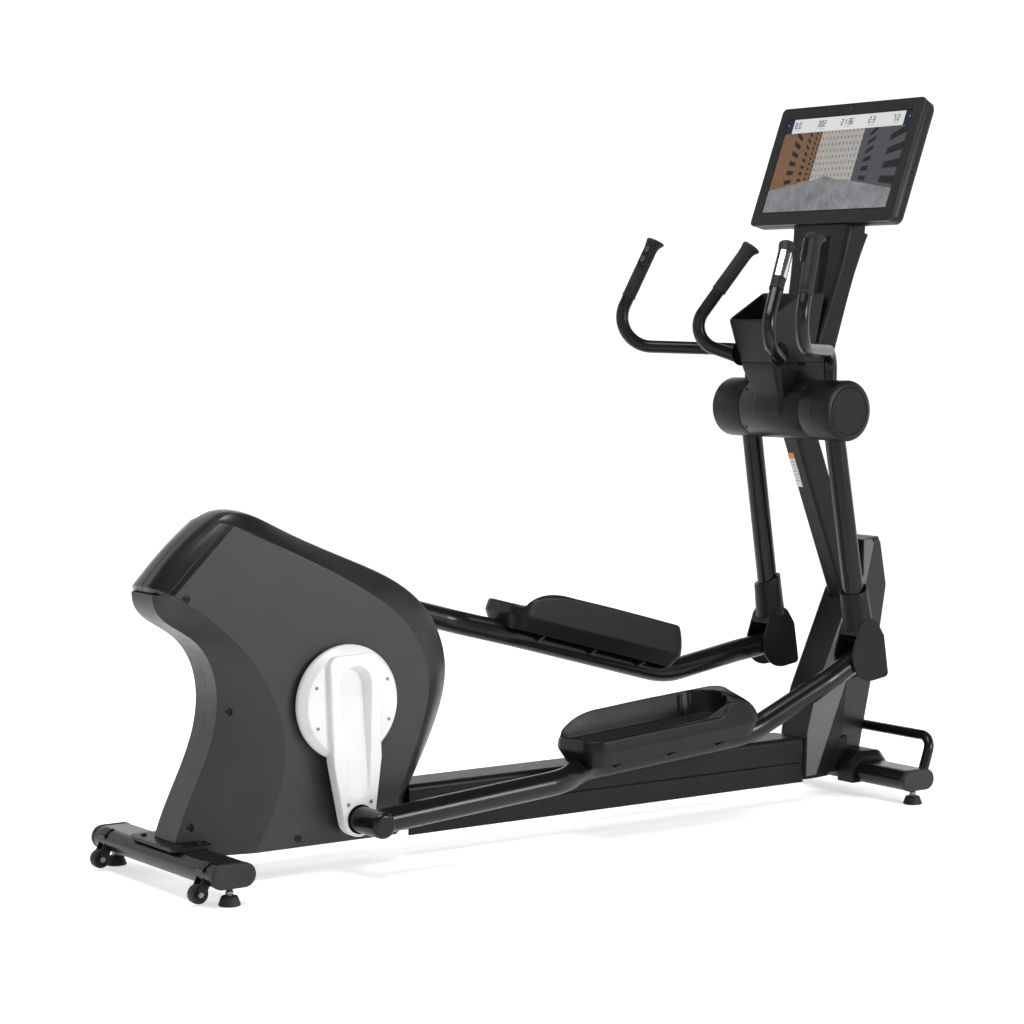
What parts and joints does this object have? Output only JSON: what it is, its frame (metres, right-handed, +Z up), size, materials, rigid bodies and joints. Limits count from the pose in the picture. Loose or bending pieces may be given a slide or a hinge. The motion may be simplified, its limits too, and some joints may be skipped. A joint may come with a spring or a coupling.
{
  "type": "elliptical trainer",
  "caption": "Elliptical trainer with a shrouded drive at the back, swinging handles linked to the pedals, fixed grips, a tray and a tilted display.",
  "frame": {"origin": "middle of the floor footprint, on the floor", "axes": "+X forward from the drive shroud to the display, +Y to the user's left, +Z up"},
  "size_m": [2.2952, 0.762, 1.8676],
  "materials": {
    "black_tube": "satin black powder coat",
    "black_steel": "satin black paint",
    "moulded_black": "fine-grained satin black",
    "moulded_charcoal": "fine-grained charcoal",
    "panel_grey": "satin dark grey",
    "gloss_black": "polished black",
    "silver_grey": "satin silver-grey paint",
    "crank_white": "satin white-silver paint",
    "rubber_black": "matte grip rubber",
    "foot_rubber": "matte rubber",
    "bright_plate": "polished",
    "bare_steel": "machined",
    "cast_wheel": "turned",
    "belt": "ribbed belt",
    "nylon_black": "nylon",
    "bezel": "satin bezel",
    "screen": "glossy display",
    "key_grey": "soft-touch keys"
  },
  "bodies": {
    "frame": {"base_beam": "black_steel", "beam_cover": "moulded_black", "rear_stabilizer": "black_tube", "front_stabilizer": "black_tube", "bar_end_caps": "moulded_charcoal", "lift_handle": "black_tube", "caster_brackets": "black_steel", "mast": "black_tube", "base_covers": "moulded_black", "post_side_plates": "silver_grey", "shroud_left": "panel_grey", "shroud_right": "panel_grey", "shroud_crown": "gloss_black", "drive_frame": "black_steel", "bearings": "bare_steel", "drive_belt": "belt", "brake_magnet": "bare_steel", "pivot_housing": "moulded_charcoal", "pivot_axle": "bare_steel", "tray_base": "moulded_charcoal", "tray_bin": "moulded_charcoal", "console_mast_rear": "moulded_charcoal", "console_mast_front": "moulded_black", "fixed_handles": "black_tube", "fixed_grips": "rubber_black", "pulse_plates": "bright_plate", "monitor_frame": "bezel", "screen_glass": "screen", "monitor_back": "moulded_charcoal"},
    "crank": {"crank_axle": "bare_steel", "drive_pulley": "nylon_black", "crank_discs": "crank_white", "crank_arms": "crank_white"},
    "flywheel": {"flywheel": "cast_wheel"},
    "left_arm": {"drum_left": "moulded_charcoal", "lower_arm_left": "black_tube", "handle_left": "black_tube", "fork_left": "moulded_black", "grip_left": "rubber_black", "keypad_left": "moulded_charcoal"},
    "left_pedal_arm": {"pedal_arm_left": "black_tube", "pedal_left": "moulded_black"},
    "left_up_button": {"button_up_left": "key_grey"},
    "left_down_button": {"button_down_left": "key_grey"},
    "left_caster": {"caster_wheel_left": "nylon_black"},
    "left_rear_foot": {"foot_rear_left": "foot_rubber"},
    "left_front_foot": {"foot_front_left": "foot_rubber"},
    "right_arm": {"drum_right": "moulded_charcoal", "lower_arm_right": "black_tube", "handle_right": "black_tube", "fork_right": "moulded_black", "grip_right": "rubber_black", "keypad_right": "moulded_charcoal"},
    "right_pedal_arm": {"pedal_arm_right": "black_tube", "pedal_right": "moulded_black"},
    "right_up_button": {"button_up_right": "key_grey"},
    "right_down_button": {"button_down_right": "key_grey"},
    "right_caster": {"caster_wheel_right": "nylon_black"},
    "right_rear_foot": {"foot_rear_right": "foot_rubber"},
    "right_front_foot": {"foot_front_right": "foot_rubber"}
  },
  "joints": [
    {"name": "crank_spin", "type": "hinge", "parent": "frame", "child": "crank", "pos_m": [-0.6596, 0, 0.398], "axis": [0, 1, 0], "continuous": true},
    {"name": "flywheel_spin", "type": "hinge", "parent": "frame", "child": "flywheel", "pos_m": [-0.8216, 0, 0.606], "axis": [0, 1, 0], "continuous": true},
    {"name": "left_arm_swing", "type": "hinge", "parent": "frame", "child": "left_arm", "pos_m": [0.8054, 0.175, 1.05], "axis": [0, 1, 0], "range_deg": [-22, 22]},
    {"name": "left_pedal_link", "type": "hinge", "parent": "left_arm", "child": "left_pedal_arm", "pos_m": [0.90879, 0.178, 0.40017], "axis": [0, 1, 0], "range_deg": [-22, 22]},
    {"name": "left_up_press", "type": "slide", "parent": "left_arm", "child": "left_up_button", "axis": [0.7994, 0.5672, -0.198], "range_m": [0, 0.0012], "stiffness_N_per_m": 500},
    {"name": "left_down_press", "type": "slide", "parent": "left_arm", "child": "left_down_button", "axis": [0.7994, 0.5672, -0.198], "range_m": [0, 0.0012], "stiffness_N_per_m": 500},
    {"name": "left_caster_spin", "type": "hinge", "parent": "frame", "child": "left_caster", "pos_m": [-1.1256, 0.236, 0.027], "axis": [0, 1, 0], "continuous": true},
    {"name": "left_rear_foot_turn", "type": "hinge", "parent": "frame", "child": "left_rear_foot", "pos_m": [-1.0656, 0.271, 0.01], "axis": [0, 0, 1], "continuous": true},
    {"name": "left_front_foot_turn", "type": "hinge", "parent": "frame", "child": "left_front_foot", "pos_m": [1.0224, 0.258, 0.01], "axis": [0, 0, 1], "continuous": true},
    {"name": "right_arm_swing", "type": "hinge", "parent": "frame", "child": "right_arm", "pos_m": [0.8054, -0.175, 1.05], "axis": [0, 1, 0], "range_deg": [-22, 22]},
    {"name": "right_pedal_link", "type": "hinge", "parent": "right_arm", "child": "right_pedal_arm", "pos_m": [0.90879, -0.178, 0.40017], "axis": [0, 1, 0], "range_deg": [-22, 22]},
    {"name": "right_up_press", "type": "slide", "parent": "right_arm", "child": "right_up_button", "axis": [0.7994, -0.5672, -0.198], "range_m": [0, 0.0012], "stiffness_N_per_m": 500},
    {"name": "right_down_press", "type": "slide", "parent": "right_arm", "child": "right_down_button", "axis": [0.7994, -0.5672, -0.198], "range_m": [0, 0.0012], "stiffness_N_per_m": 500},
    {"name": "right_caster_spin", "type": "hinge", "parent": "frame", "child": "right_caster", "pos_m": [-1.1256, -0.236, 0.027], "axis": [0, 1, 0], "continuous": true},
    {"name": "right_rear_foot_turn", "type": "hinge", "parent": "frame", "child": "right_rear_foot", "pos_m": [-1.0656, -0.271, 0.01], "axis": [0, 0, 1], "continuous": true},
    {"name": "right_front_foot_turn", "type": "hinge", "parent": "frame", "child": "right_front_foot", "pos_m": [1.0224, -0.258, 0.01], "axis": [0, 0, 1], "continuous": true}
  ],
  "couplings": [
    {"joint": "flywheel_spin", "follows": "crank_spin", "ratio": 5},
    {"joint": "right_arm_swing", "follows": "left_arm_swing", "ratio": -1},
    {"joint": "left_pedal_link", "follows": "left_arm_swing", "ratio": -1},
    {"joint": "right_pedal_link", "follows": "left_arm_swing", "ratio": 1}
  ]
}
